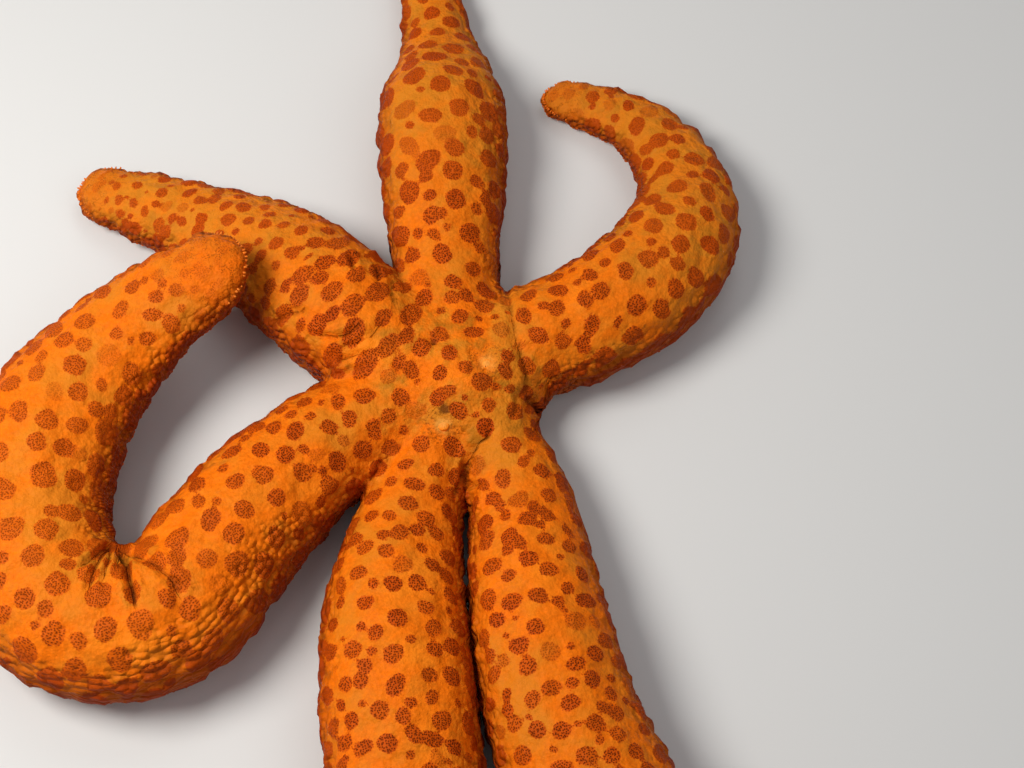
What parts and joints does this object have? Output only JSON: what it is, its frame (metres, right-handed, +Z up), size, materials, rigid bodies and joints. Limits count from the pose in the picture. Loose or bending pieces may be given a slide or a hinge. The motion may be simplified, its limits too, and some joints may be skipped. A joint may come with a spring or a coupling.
{
  "type": "starfish",
  "caption": "Life-size orange sea star with long rounded arms, one folded back over its neighbour, resting on flat soles with grooves and a mouth underneath.",
  "frame": {"origin": "on the floor, under the middle of the animal's outline seen from above; the mouth is 10.7 mm along +X and 19.3 mm along +Y from it", "axes": "+Z up from the soles to the back; -Y is towards the side that the animal is looked at from, with the two long side-by-side arms pointing that way"},
  "size_m": [0.1581, 0.2571, 0.0258],
  "materials": {
    "skin": "firm granular orange skin with round dark red-orange pore fields, softly glossy as if wet",
    "madreporite": "pale limy sieve plate with fine furrows",
    "mouth": "soft thin brownish orange membrane"
  },
  "bodies": {
    "root": {"disc": "skin", "arm_1_inner": "skin", "arm_1_outer": "skin", "arm_1_tip": "skin", "arm_2_inner": "skin", "arm_2_middle": "skin", "arm_2_outer": "skin", "arm_2_tip": "skin", "arm_3_inner": "skin", "arm_3_middle": "skin", "arm_3_outer": "skin", "arm_3_tip": "skin", "arm_4_inner": "skin", "arm_4_middle": "skin", "arm_4_outer": "skin", "arm_4_tip": "skin", "arm_5_inner": "skin", "arm_5_elbow": "skin", "arm_5_middle": "skin", "arm_5_outer": "skin", "arm_5_tip": "skin", "arm_6_inner": "skin", "arm_6_outer": "skin", "arm_6_tip": "skin", "madreporite_1": "madreporite", "madreporite_2": "madreporite", "mouth": "mouth"}
  },
  "joints": []
}
